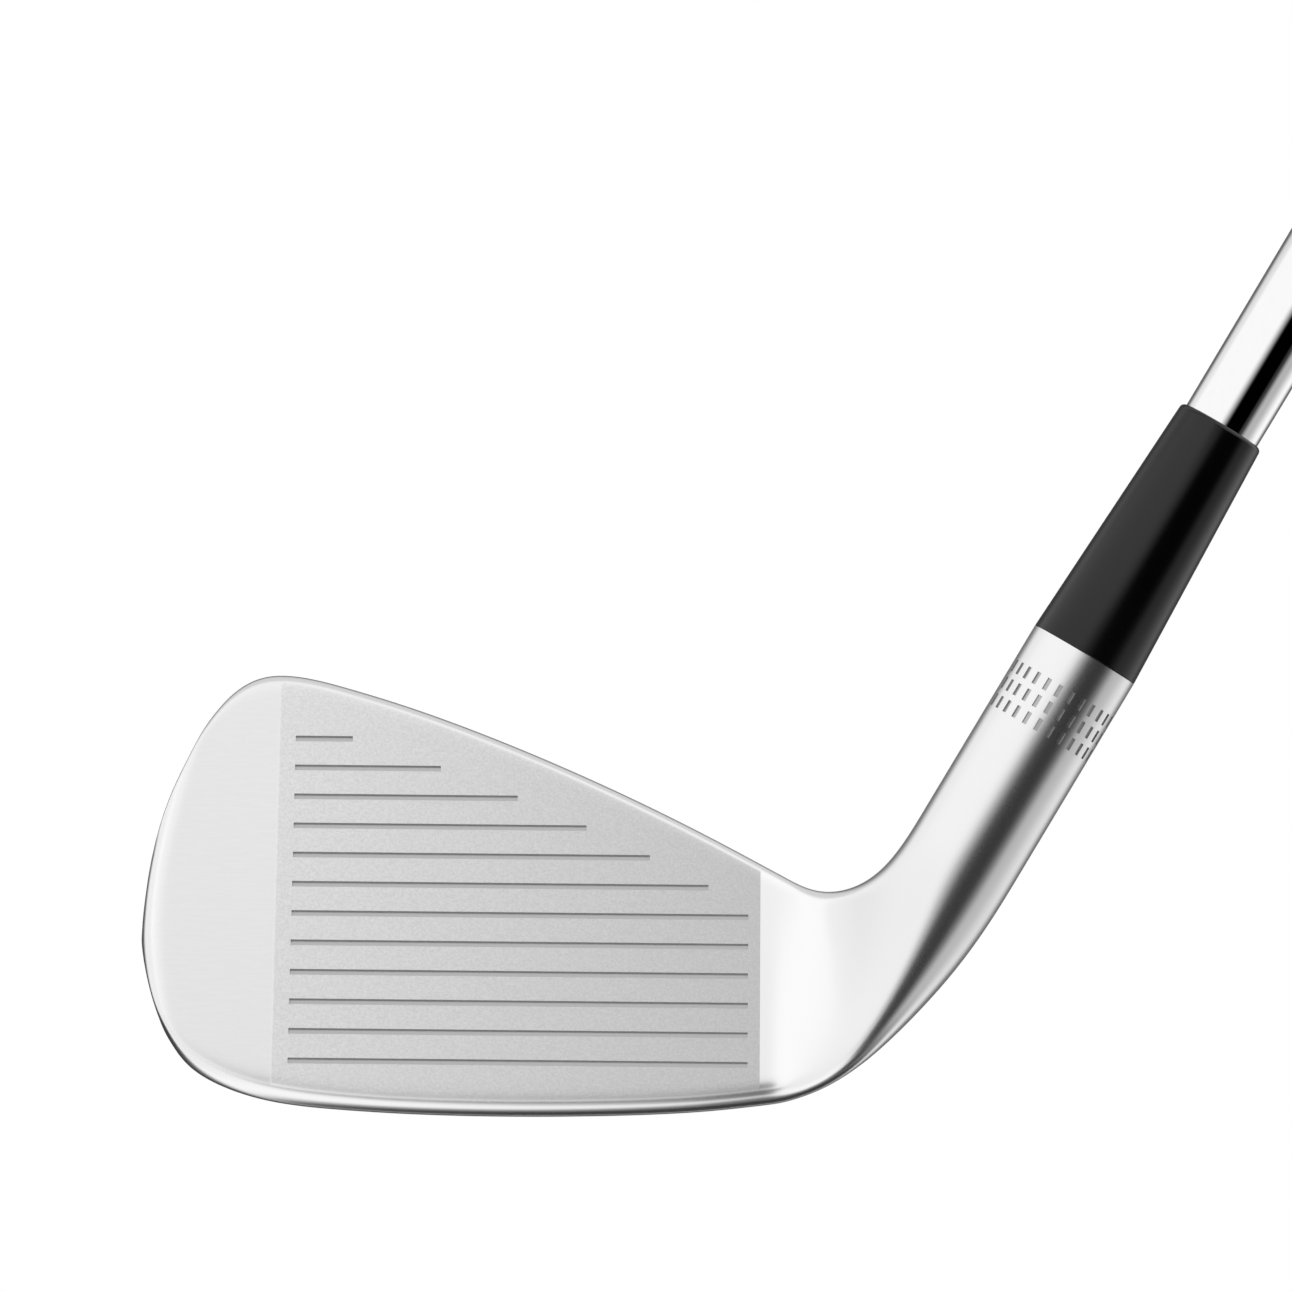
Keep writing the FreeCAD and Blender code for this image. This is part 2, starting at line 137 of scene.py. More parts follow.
TICK_ROWS, TICKS_ROUND = 3, 27
TICK_L, TICK_W, TICK_DEPTH = 1.5, 0.55, 0.2
TICK_TURN = math.radians(-4.0)
TICK_ROW_PITCH = 2.25
TICK_FIRST = 56.7

STEPS_ALONG, STEPS_ROUND = 12, 8    # mesh rows for each span of the head's net

# ---------------------------------------------------------------- the rest: driving dimensions
TIP_R, TIP_TAPER = 4.51, 0.00375
STEPS, FIRST_STEP_S, STEP_PITCH, STEP_LENGTH = 14, 215.0, 32.0, 2.0
STEP_SOFT = 8.0                     # rounding where a step's cone meets the straight tube
TIP_WALL, BUTT_WALL = 0.65, 0.3
FERRULE_TOP_R = 5.3
FERRULE_BORE_LOW, FERRULE_BORE_TOP = 4.66, 4.78
FERRULE_FOOT_ROUND, FERRULE_TOP_ROUND = 0.12, 0.6
# plain rings of the band: share of its length, half width as the same share
BAND_RINGS = ((0.06, 0.02), (0.12, 0.008), (0.88, 0.008), (0.94, 0.02))
GRIP_MOUTH_R, GRIP_LIP_R = 9.4, 0.8
GRIP_SWELL_EVEN, GRIP_SWELL_POWER = 0.55, 1.6
GRIP_INSET = 0.02                   # taken off the swell, so that its wide end stays inside the CAD's
GRIP_ROWS, GRIP_LIP_STEPS = 360, 5
TREAD_LINES = 14                    # crossing spiral cuts each way round
TREAD_LEAD = 2.6                    # length along the grip for each radian that a cut turns
TREAD_W = 0.33                      # where a cut begins, as the sine of its distance from the middle
TREAD_DEPTH = 0.35
TREAD_FROM, TREAD_TO, TREAD_FADE = 0.07, 0.95, 0.01  # shares of the grip's length
TREAD_OUTSIDE_R = 9.0               # only surface further out than this is cut
CAP_T, CAP_STEM_R, VENT_R = 5.0, 7.2, 1.8
VENT_FLARE = 0.9
CAP_RING = (9.0, 9.4, 10.8, 11.2)   # ring sunk in the end: inner rim and floor, outer floor and rim
CAP_RING_DEPTH = 0.5


# ---------------------------------------------------------------- mesh helpers
def new_object(name, vertices, faces, materials):
    """Object from mm vertices, shaded smooth."""
    mesh = bpy.data.meshes.new(name)
    mesh.from_pydata([tuple(v) for v in np.asarray(vertices) * MM], [], faces)
    for material in materials:
        mesh.materials.append(material)
    mesh.polygons.foreach_set("use_smooth", [True] * len(mesh.polygons))
    mesh.update()
    made = bpy.data.objects.new(name, mesh)
    bpy.context.scene.collection.objects.link(made)
    return made


def crease(made, degrees):
    """Shade as sharp every edge that turns by more than this."""
    bm = bmesh.new()
    bm.from_mesh(made.data)
    bmesh.ops.recalc_face_normals(bm, faces=bm.faces)
    for edge in bm.edges:
        edge.smooth = edge.calc_face_angle(0.0) < math.radians(degrees)
    bm.to_mesh(made.data)
    bm.free()


def on_axis(radius, station, turn):
    """Point that far along the shaft axis and that far out, turned round it."""
    return AXIS * station + (ACROSS * math.cos(turn) + FRONT * math.sin(turn)) * radius


def rounded(corners, steps=5):
    """Closed (radius, station) outline from corners (radius, station, rounding)."""
    outline = []
    for i, (r, s, bend) in enumerate(corners):
        here = np.array([r, s])
        if not bend:
            outline.append(here)
            continue
        before = np.array(corners[i - 1][:2]) - here
        after = np.array(corners[(i + 1) % len(corners)][:2]) - here
        a, b = before / np.linalg.norm(before), after / np.linalg.norm(after)
        half = math.acos(float(np.clip(a @ b, -1, 1))) / 2
        centre = here + (a + b) / np.linalg.norm(a + b) * bend / math.sin(half)
        start, end = here + a * bend / math.tan(half), here + b * bend / math.tan(half)
        for k in range(steps + 1):
            mix = k / steps
            out = (start - centre) * (1 - mix) + (end - centre) * mix
            outline.append(centre + out / np.linalg.norm(out) * bend)
    return outline


def lathe(name, outline, around, materials, depth=None):
    """Closed ring swept round the shaft axis; depth(turn, radius, station) may sink its surface."""
    rings = len(outline)
    vertices = []
    for r, s in outline:
        for k in range(around):
            turn = 2 * math.pi * k / around
            vertices.append(on_axis(r - (depth(turn, r, s) if depth else 0.0), s, turn))
    faces = []
    for i in range(rings):
        for k in range(around):
            n, m = (i + 1) % rings, (k + 1) % around
            faces.append((i * around + k, i * around + m, n * around + m, n * around + k))
    return new_object(name, vertices, faces, materials)


def stands_for(made, node):
    """The piece rides on the club and is shown in place of a CAD node."""
    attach(made, "root")
    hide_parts(node)


# ---------------------------------------------------------------- material helpers
class Shader:
    """A node tree built by short calls; each call returns the socket it makes."""

    def __init__(self, tree):
        self.tree = tree
        self.tree.nodes.clear()

    def node(self, kind, **settings):
        made = self.tree.nodes.new(kind)
        for key, value in settings.items():
            setattr(made, key, value)
        return made

    def feed(self, socket, value):
        if isinstance(value, bpy.types.NodeSocket):
            self.tree.links.new(value, socket)
        else:
            socket.default_value = value

    def math(self, operation, a, b=0.0, clamp=False):
        made = self.node("ShaderNodeMath", operation=operation, use_clamp=clamp)
        self.feed(made.inputs[0], a)
        self.feed(made.inputs[1], b)
        return made.outputs[0]

    def vector(self, operation, a, b):
        made = self.node("ShaderNodeVectorMath", operation=operation)
        self.feed(made.inputs[0], a)
        self.feed(made.inputs[1], b)
        return made.outputs["Value" if operation == "DOT_PRODUCT" else "Vector"]

    def ramp(self, value, low, high, to_low=0.0, to_high=1.0, smooth=True):
        made = self.node("ShaderNodeMapRange", interpolation_type="SMOOTHSTEP" if smooth else "LINEAR")
        self.feed(made.inputs["Value"], value)
        for key, number in (("From Min", low), ("From Max", high), ("To Min", to_low), ("To Max", to_high)):
            made.inputs[key].default_value = number
        return made.outputs["Result"]

    def degrees(self, value, low, high, to_low=0.0, to_high=1.0):
        return self.ramp(value, math.radians(low), math.radians(high), to_low, to_high)

    def noise(self, vector, scale, detail=2.0, roughness=0.5):
        made = self.node("ShaderNodeTexNoise")
        self.feed(made.inputs["Vector"], vector)
        made.inputs["Scale"].default_value = scale
        made.inputs["Detail"].default_value = detail
        made.inputs["Roughness"].default_value = roughness
        return made.outputs["Fac"]

    def mix(self, share, a, b):
        made = self.node("ShaderNodeMix", data_type="RGBA")
        self.feed(made.inputs[0], share)
        self.feed(made.inputs[6], a)
        self.feed(made.inputs[7], b)
        return made.outputs[2]

    def blend(self, share, a, b):
        made = self.node("ShaderNodeMix", data_type="FLOAT")
        self.feed(made.inputs[0], share)
        self.feed(made.inputs[2], a)
        self.feed(made.inputs[3], b)
        return made.outputs[0]

    def bump(self, height, distance, strength=1.0):
        made = self.node("ShaderNodeBump")
        made.inputs["Strength"].default_value = strength
        made.inputs["Distance"].default_value = distance
        self.feed(made.inputs["Height"], height)
        return made.outputs["Normal"]

    def place(self):
        return self.node("ShaderNodeTexCoord").outputs["Object"]

    def split(self, vector):
        made = self.node("ShaderNodeSeparateXYZ")
        self.feed(made.inputs[0], vector)
        return made.outputs


def surface(name, fill, **plain):
    """Material whose Principled inputs come from fill(shader) and from plain numbers."""
    material = bpy.data.materials.new(name)
    material.use_nodes = True
    shader = Shader(material.node_tree)
    out = shader.node("ShaderNodeOutputMaterial")
    body = shader.node("ShaderNodeBsdfPrincipled")
    shader.tree.links.new(body.outputs[0], out.inputs[0])
    for key, value in {**plain, **fill(shader)}.items():
        shader.feed(body.inputs[key], value)
    return material


def grey(level, warm=0.0):
    return (level + warm, level, level - warm, 1.0)


# ---------------------------------------------------------------- materials
def head_steel():
    """Satin chrome: a blasted hitting area with painted shade, darker toward the heel and the bottom; fine
    brushing on the toe, polished elsewhere.
    """
    def fill(sh):
        place = sh.place()
        x = sh.split(place)[0]
        normal = tuple(face_normal)
        plane_at = FACE_Y * MM * normal[1]
        on_plane = sh.math("ABSOLUTE", sh.math("SUBTRACT", sh.vector("DOT_PRODUCT", place, normal), plane_at))
        flat = sh.ramp(on_plane, ON_PLANE * MM, BLAST_OFF * MM, 1.0, 0.0)
        toe_ends = (HIT_TOE_X - HIT_TOE_SOFT) * MM, (HIT_TOE_X + HIT_TOE_SOFT) * MM
        heel_ends = (HIT_HEEL_X - HIT_HEEL_SOFT) * MM, (HIT_HEEL_X + HIT_HEEL_SOFT) * MM
        inside = sh.math("MULTIPLY", sh.ramp(x, *toe_ends), sh.ramp(x, *heel_ends, 1.0, 0.0))
        blasted = sh.math("MULTIPLY", flat, inside)
        brushed = sh.math("MULTIPLY", sh.ramp(on_plane, ON_PLANE * MM, BRUSH_OFF * MM, 1.0, 0.0),
                          sh.ramp(x, *toe_ends, 1.0, 0.0))

        streaks = sh.noise(sh.vector("MULTIPLY", place, (420.0, 3000.0, 3000.0)), 1.0, 2.0, 0.6)
        grain = sh.noise(place, 3200.0, 2.0, 0.7)
        cloud = sh.noise(place, 60.0, 3.0)

        polished = sh.blend(cloud, 0.24, 0.27)
        rough = sh.blend(blasted, sh.blend(brushed, polished, sh.blend(streaks, 0.28, 0.36)), 0.43)
        # painted shade: the blasted area's colour darkens toward the heel and toward the bottom, standing in
        # for the studio light falling off across the face
        painted_light_falloff = sh.math("ADD", sh.ramp(x, HIT_TOE_X * MM, HIT_HEEL_X * MM, 0.0, 0.85, smooth=False),
                       sh.ramp(sh.split(place)[2], 0.045, 0.0, 0.0, 0.15, smooth=False))
        matt_with_painted_shade = sh.mix(painted_light_falloff, grey(0.95), grey(0.72))
        blast_tone = sh.mix(sh.ramp(grain, 0.3, 0.7), sh.mix(0.16, matt_with_painted_shade, grey(0.3)), matt_with_painted_shade)
        brush_tone = sh.mix(sh.ramp(streaks, 0.3, 0.7), grey(0.90), grey(0.925))
        tone = sh.mix(blasted, sh.mix(brushed, grey(0.98), brush_tone), blast_tone)
        height = sh.blend(blasted, sh.math("MULTIPLY", streaks, sh.blend(brushed, 0.01, 0.05)), grain)
        return {"Base Color": tone, "Roughness": rough, "Normal": sh.bump(height, 0.00004, 0.5)}
    return surface("head_satin_chrome", fill, Metallic=1.0)


def groove_steel():
    """Milled walls of the scorelines and ticks, duller and darker than the face."""
    def fill(sh):
        grain = sh.noise(sh.place(), 2500.0, 2.0)
        return {"Base Color": sh.mix(grain, grey(0.55), grey(0.63)),
                "Roughness": sh.blend(grain, 0.32, 0.42)}
    return surface("milled_groove", fill, Metallic=1.0)


def chrome():
    """Mirror plating with faint polishing scratches along the shaft."""
    def fill(sh):
        place = sh.place()
        fine = sh.noise(sh.vector("MULTIPLY", place, (900.0, 900.0, 300.0)), 1.0, 2.0)
        return {"Base Color": sh.mix(fine, grey(0.93), grey(0.96)),
                "Roughness": sh.blend(fine, 0.015, 0.04)}
    return surface("shaft_chrome_plate", fill, Metallic=1.0)


def ferrule_black():
    def fill(sh):
        place = sh.place()
        cloud = sh.noise(place, 220.0, 3.0)
        fine = sh.noise(place, 3500.0, 2.0)
        return {"Base Color": sh.mix(cloud, grey(0.0004), grey(0.0008)),
                "Roughness": sh.blend(cloud, 0.20, 0.24),
                "Normal": sh.bump(fine, 0.000002, 0.2)}
    return surface("ferrule_acetate", fill, IOR=1.5)


def rubber():
    def fill(sh):
        place = sh.place()
        fine = sh.noise(place, 2600.0, 4.0, 0.7)
        wear = sh.noise(place, 40.0, 3.0)
        return {"Base Color": sh.mix(wear, grey(0.012), grey(0.022, 0.001)),
                "Roughness": sh.blend(wear, 0.55, 0.72),
                "Normal": sh.bump(fine, 0.00006, 0.6)}
    return surface("grip_rubber_black", fill, IOR=1.45)


def band_film(first, last):
    """Printed film: dark ground with plain silver rings near its ends."""
    def fill(sh):
        place = sh.place()
        station = sh.vector("DOT_PRODUCT", place, tuple(AXIS))
        share = sh.ramp(station, first * MM, last * MM, smooth=False)
        rings = None
        for centre, width in BAND_RINGS:
            near = sh.math("ABSOLUTE", sh.math("SUBTRACT", share, centre))
            ring = sh.math("LESS_THAN", near, width)
            rings = ring if rings is None else sh.math("MAXIMUM", rings, ring)
        cloud = sh.noise(place, 150.0, 2.0)
        dark = sh.mix(cloud, (0.020, 0.024, 0.032, 1.0), (0.028, 0.032, 0.042, 1.0))
        return {"Base Color": sh.mix(rings, dark, grey(0.62)),
                "Metallic": sh.math("MULTIPLY", rings, 0.9),
                "Roughness": sh.blend(cloud, 0.16, 0.24)}
    return surface("shaft_band_film", fill, **{"Coat Weight": 0.6, "Coat Roughness": 0.06})


def glue():
    def fill(sh):
        cloud = sh.noise(sh.place(), 500.0, 3.0)
        return {"Base Color": sh.mix(cloud, (0.42, 0.36, 0.22, 1), (0.52, 0.46, 0.30, 1)),
                "Roughness": sh.blend(cloud, 0.3, 0.5)}
    return surface("epoxy_glue", fill)


def brass():
    def fill(sh):
        turning = sh.noise(sh.vector("MULTIPLY", sh.place(), (200.0, 200.0, 3000.0)), 1.0, 2.0)
        return {"Base Color": sh.mix(turning, (0.60, 0.46, 0.20, 1), (0.74, 0.60, 0.30, 1)),
                "Roughness": sh.blend(turning, 0.25, 0.4)}
    return surface("turned_brass", fill, Metallic=1.0)


def crepe_tape():
    def fill(sh):
        creases = sh.noise(sh.vector("MULTIPLY", sh.place(), (400.0, 400.0, 1800.0)), 1.0, 3.0)
        return {"Base Color": sh.mix(creases, (0.62, 0.54, 0.36, 1), (0.78, 0.70, 0.52, 1)),
                "Roughness": sh.blend(creases, 0.7, 0.9),
                "Normal": sh.bump(creases, 0.0001, 0.5)}
    return surface("crepe_tape", fill)


# ---------------------------------------------------------------- head: its net of control points
def on_face(height, depth):
    """Point (y, z) that far up the face and that far behind it."""
    return (FACE_Y + height * math.sin(LOFT) + depth * math.cos(LOFT),
            height * math.cos(LOFT) - depth * math.sin(LOFT))


def face_y(z):
    return FACE_Y + z * math.tan(LOFT)


def blade_cut(x_at, sole_z, top_z, toe=0.0, lead=LEADING_R, muscle=1.0):
    """Poles of one cut through the blade, going up the face, over the top and down the back."""
    foot, top = sole_z / math.cos(LOFT), top_z / math.cos(LOFT)
    tall = top - foot
    near, far = CORNER_NEAR * EDGE_R, CORNER_FAR * EDGE_R
    thick = TOPLINE_T + (TOE_T - TOPLINE_T) * toe
    corner_y = face_y(sole_z)
    near_lead, far_lead = LEAD_NEAR * lead, LEAD_FAR * lead

    upper_face = [on_face(foot + share * tall, 0) for share in FACE_POLES]
    top_edge = [on_face(top - far, 0), on_face(top - near, 0),
                on_face(top, near), on_face(top, thick / 2), on_face(top, thick - near),
                on_face(top - near, thick), on_face(top - TOP_BACK_SPREAD * far, thick)]
    back = [on_face(foot + share * tall, thick + bulge * muscle * (1 - toe)) for share, bulge in BACK_POLES]
    rear = []
    for behind, share, lift in REAR_POLES:
        z = sole_z + share * tall + lift
        muscle_y, toe_y = SOLE_BACK_Y + behind, face_y(z) + thick / math.cos(LOFT)
        rear.append((muscle_y + toe * (toe_y - muscle_y), z))
    sole_rear, sole_front = rear[-1][0], corner_y + near_lead
    sole = [(sole_rear + share * (sole_front - sole_rear), sole_z + lift) for share, lift in SOLE_POLES]
    leading_edge = [(sole_front, sole_z + LEADING_LIFT), on_face(foot + near_lead, 0),
                    on_face(foot + far_lead, 0)]
    lower_face = [on_face(foot + (far_lead + FACE_POLES[0] * tall) / 2, 0)]
    return np.array([(x_at(z), y, z)
                     for y, z in upper_face + top_edge + back + rear + sole + leading_edge + lower_face])


def toe_cut(foot_x, mid_x, top_x, foot_z, top_z, toe):
    """A blade cut bowed outward so that its edge follows the toe."""
    def x_at(z):
        if z > TOE_MID_Z:
            return mid_x + (top_x - mid_x) * min((z - TOE_MID_Z) / (top_z - TOE_MID_Z), 1.0) ** 2
        return mid_x + (foot_x - mid_x) * min((TOE_MID_Z - z) / (TOE_MID_Z - foot_z), 1.0) ** 2
    return blade_cut(x_at, foot_z, top_z, toe, LEADING_R + toe * (LEADING_TOE_R - LEADING_R))


def pinched(row):
    """The same cut, drawn in toward the middle of its thickness."""
    depth = (row[:, 1] - face_y(row[:, 2])) * math.cos(LOFT)
    drawn = row.copy()
    drawn[:, 1] += (TOE_T / 2 - depth) * (1 - TOE_PINCH) / math.cos(LOFT)
    return drawn


def pole_turns():
    return (np.arange(RING_POLES) - CROTCH_POLE) * 2 * math.pi / RING_POLES


def hosel_ring(station):
    """Poles of a circle round the shaft axis; pole CROTCH_POLE is on the crotch side."""
    reach = 3 * HOSEL_R / (2 + math.cos(2 * math.pi / RING_POLES))
    return np.array([on_axis(reach, station, turn) for turn in pole_turns()])


def round_share(crotch, side, heel):
    """One length for the crotch, one for front and back, one for the heel, eased between them."""
    lean = np.cos(pole_turns())
    return (side + (np.where(lean > 0, crotch, heel) - side) * lean ** 2)[:, None]


def window(centre, width):
    """Share for each pole: 1 at that many degrees round the axis, easing to 0 that far from it."""
    off = np.mod(np.degrees(pole_turns()) - centre + 180, 360) - 180
    return (np.cos(np.radians(90 * np.clip(off / width, -1, 1))) ** 2)[:, None]


def topline_z(x):
    """Height of the blade's upper corner between the heel cut and the shoulder."""
    out = HEEL_CUT_X - x
    return TOPLINE_HEEL_Z + TOPLINE_RISE * out - TOPLINE_CROWN * out ** 2


def topline_x(z):
    """Where the topline is that high; the other way round from topline_z."""
    climb = z - TOPLINE_HEEL_Z
    root = math.sqrt(TOPLINE_RISE ** 2 - 4 * TOPLINE_CROWN * climb)
    return HEEL_CUT_X - (TOPLINE_RISE - root) / (2 * TOPLINE_CROWN)


def head_rows():
    """The control net of the head, from the toe to the top of the hosel."""
    toe_point = np.array([TOE_X, *on_face(TOE_MID_Z / math.cos(LOFT), TOE_T / 2)])
    rows = [np.tile(toe_point, (RING_POLES, 1))]
    for ring, toe in zip(TOE_RINGS, TOE_SHARE):
        rows.append(toe_cut(*ring, toe))
    rows[1] = pinched(rows[1])

    def sole_z(x):
        return (x - SOLE_LOW_X) ** 2 / (2 * SOLE_CAMBER_R)

    def flat(x):
        return lambda z: x

    rows.append(blade_cut(flat(SHOULDER_X), sole_z(SHOULDER_X) + SHOULDER_LIFT, SHOULDER_TOP_Z, SHOULDER_TOE))
    for x, muscle in zip(BLADE_CUTS_X, CUT_MUSCLE):
        lift = HEEL_LIFT if x == HEEL_CUT_X else 0.0
        rows.append(blade_cut(flat(x), sole_z(x) + lift, topline_z(x), muscle=muscle))

    onward = rows[-1] - rows[-2]
    onward /= np.linalg.norm(onward, axis=1)[:, None]
    ring = hosel_ring(0)
    onward *= round_share(*BLEND_BLADE)
    blade_end = rows[-1] + onward
    rows.append(rows[-1] + onward * HEEL_PLAIN)
    on_hosel = ring + np.outer(blade_end @ AXIS, AXIS)
    blade_end += (on_hosel - blade_end) * window(*FRONT_HOLD)
    blade_end[:, 2:] += HEEL_RISE * window(*HEEL_RISE_OVER)
    run = round_share(*BLEND_HOSEL) + FRONT_RUN * window(*FRONT_RUN_OVER)
    hosel_end = ring + AXIS * (HOSEL_RINGS[0] - run)
    return np.array(rows + [blade_end, hosel_end] + [hosel_ring(s) for s in HOSEL_RINGS])


def cubic_weights(t):
    """Weights of four neighbouring poles of a uniform cubic at t within the span."""
    return np.array([(1 - t) ** 3, 3 * t ** 3 - 6 * t ** 2 + 4, -3 * t ** 3 + 3 * t ** 2 + 3 * t + 1,
                     t ** 3]) / 6


def clamped_weights(count, u):
    """Weights of all poles of a clamped uniform cubic, by de Boor's recurrence."""
    spans = count - 3
    knots = np.concatenate([[0] * 3, np.arange(spans + 1), [spans] * 3]).astype(float)
    u = min(u, spans - 1e-9)
    weights = np.array([1.0 if knots[i] <= u < knots[i + 1] else 0.0 for i in range(len(knots) - 1)])
    for degree in (1, 2, 3):
        raised = np.zeros(len(weights) - 1)
        for i in range(len(raised)):
            left, right = knots[i + degree] - knots[i], knots[i + degree + 1] - knots[i + 1]
            if left > 0:
                raised[i] += (u - knots[i]) / left * weights[i]
            if right > 0:
                raised[i] += (knots[i + degree + 1] - u) / right * weights[i + 1]
        weights = raised
    return weights


def head_skin():
    """Rows of points on the head's skin, from the ring next to the toe point to the hosel top."""
    net = head_rows()
    spans = len(net) - 3
    along = np.array([clamped_weights(len(net), k / STEPS_ALONG)
                      for k in range(spans * STEPS_ALONG + 1)])
    around = np.zeros((RING_POLES * STEPS_ROUND, RING_POLES))
    for k in range(RING_POLES * STEPS_ROUND):
        pole, step = divmod(k, STEPS_ROUND)
        for shift, weight in zip((-1, 0, 1, 2), cubic_weights(step / STEPS_ROUND)):
            around[k, (pole + shift) % RING_POLES] += weight
    return np.einsum("ui,ijk,vj->uvk", along, net, around)


# ---------------------------------------------------------------- head: cutters
def bar(sections):
    """Closed shape through equal outlines of 3-D points, capped at both ends."""
    count = len(sections[0])
    vertices = [np.array(p, float) for section in sections for p in section]
    faces = [tuple(range(count))[::-1], tuple(range(len(vertices) - count, len(vertices)))]
    for first in range(0, len(vertices) - count, count):
        for i in range(count):
            n = (i + 1) % count
            faces.append((first + i, first + n, first + count + n, first + count + i))
    return vertices, faces


def joined(prisms):
    vertices, faces = [], []
    for more, sides in prisms:
        faces += [tuple(i + len(vertices) for i in side) for side in sides]
        vertices += more
    return vertices, faces


def groove_bars():
    bars = []
    half, floor = GROOVE_W / 2, GROOVE_FLOOR_W / 2
    for row in range(GROOVES):
        height = GROOVE_FIRST_H + row * GROOVE_PITCH
        below_topline = height * math.cos(LOFT) + GROOVE_CLEAR
        heel_x = GROOVE_HEEL_X
        if below_topline > topline_z(GROOVE_HEEL_X):
            heel_x = topline_x(below_topline)
        outline = [(-half, 0), (-half, -CUT_CLEAR), (half, -CUT_CLEAR), (half, 0),
                   (floor, GROOVE_DEPTH), (-floor, GROOVE_DEPTH)]
        sections = [[(x, *on_face(height + h, d)) for h, d in outline] for x in (GROOVE_TOE_X, heel_x)]
        bars.append(bar(sections))
    return joined(bars)


def tick_bars():
    bars = []
    half = TICK_W / 2 / HOSEL_R
    for row in range(TICK_ROWS):
        low = TICK_FIRST - row * TICK_ROW_PITCH
        for place in range(TICKS_ROUND):
            turn = TICK_TURN + 2 * math.pi * place / TICKS_ROUND
            floor, above = HOSEL_R - TICK_DEPTH, HOSEL_R + CUT_CLEAR
            bars.append(bar([[on_axis(floor, s, turn - half), on_axis(above, s, turn - half),
                              on_axis(above, s, turn + half), on_axis(floor, s, turn + half)]
                             for s in (low, low + TICK_L)]))
    return joined(bars)


def cut_away(made, shape, material):
    """Cut a shape of mm vertices and faces out of an object; the new walls take the material."""
    cutter = new_object("cutter", *shape, [material])
    crease(cutter, 30)
    step = made.modifiers.new("cut", "BOOLEAN")
    step.operation = "DIFFERENCE"
    step.solver = "EXACT"
    step.material_mode = "TRANSFER"
    step.object = cutter
    dg = bpy.context.evaluated_depsgraph_get()
    result = bpy.data.meshes.new_from_object(made.evaluated_get(dg), depsgraph=dg)
    made.modifiers.clear()
    made.data = result
    bpy.data.objects.remove(cutter)


# ---------------------------------------------------------------- pieces
def make_head():
    skin = head_skin()
    rows, columns = skin.shape[:2]
    vertices = [skin[0, 0]] + [p for row in skin[1:] for p in row]

    def at(row, column):
        return 1 + (row - 1) * columns + column % columns

    faces = [(0, at(1, k + 1), at(1, k)) for k in range(columns)]
    for i in range(1, rows - 1):
        faces += [(at(i, k), at(i, k + 1), at(i + 1, k + 1), at(i + 1, k)) for k in range(columns)]
    # the bore: a flat rim at the top, the wall and a floor
    bore_low, _, bore_r = measured("hosel_glue")
    rim = len(vertices)
    top_turns = [2 * math.pi * k / columns - CROTCH_POLE * 2 * math.pi / RING_POLES for k in range(columns)]
    vertices += [on_axis(bore_r, HOSEL_TOP, t) for t in top_turns]
    vertices += [on_axis(bore_r, bore_low, t) for t in top_turns]
    for k in range(columns):
        n = (k + 1) % columns
        faces.append((at(rows - 1, k), at(rows - 1, n), rim + n, rim + k))
        faces.append((rim + k, rim + n, rim + columns + n, rim + columns + k))
    faces.append(tuple(rim + columns + k for k in range(columns)))
    head = new_object("head_forging", vertices, faces, [head_steel()])
    crease(head, 40)
    walls = groove_steel()
    cut_away(head, groove_bars(), walls)
    cut_away(head, tick_bars(), walls)
    crease(head, 30)
    stands_for(head, "head")


def make_ferrule():
    low, high, wide = measured("ferrule")
    corners = [(FERRULE_BORE_LOW, low, 0), (wide, low, FERRULE_FOOT_ROUND),
               (FERRULE_TOP_R, high, FERRULE_TOP_ROUND), (FERRULE_BORE_TOP, high, 0)]
    ferrule = lathe("ferrule_sleeve", rounded(corners), 256, [ferrule_black()])
    crease(ferrule, 40)
    stands_for(ferrule, "ferrule")


def make_shaft():
    tip, butt, butt_r = measured("shaft")
    first_r = TIP_R + (FIRST_STEP_S - tip) * TIP_TAPER
    corners = [(TIP_R, tip, 0), (first_r, FIRST_STEP_S, STEP_SOFT)]
    for step in range(STEPS):
        start = FIRST_STEP_S + step * STEP_PITCH
        before = first_r + (butt_r - first_r) * step / STEPS
        after = first_r + (butt_r - first_r) * (step + 1) / STEPS
        if step:
            corners.append((before, start, STEP_SOFT))
        corners.append((after, start + STEP_LENGTH, STEP_SOFT))
    corners += [(butt_r, butt, 0), (butt_r - BUTT_WALL, butt, 0),
                (butt_r - BUTT_WALL, FIRST_STEP_S + STEPS * STEP_PITCH, 0),
                (first_r - TIP_WALL, FIRST_STEP_S, 0), (TIP_R - TIP_WALL, tip, 0)]
    shaft = lathe("stepped_shaft", rounded(corners, 4), 256, [chrome()])
    crease(shaft, 40)
    stands_for(shaft, "shaft")


def make_band():
    low, high, wide = measured("shaft_band")
    core = measured("shaft")[2]
    corners = [(core, low, 0), (wide, low, 0.05), (wide, high, 0.05), (core, high, 0)]
    band = lathe("band_film", rounded(corners), 192, [band_film(low, high)])
    crease(band, 50)
    stands_for(band, "shaft_band")


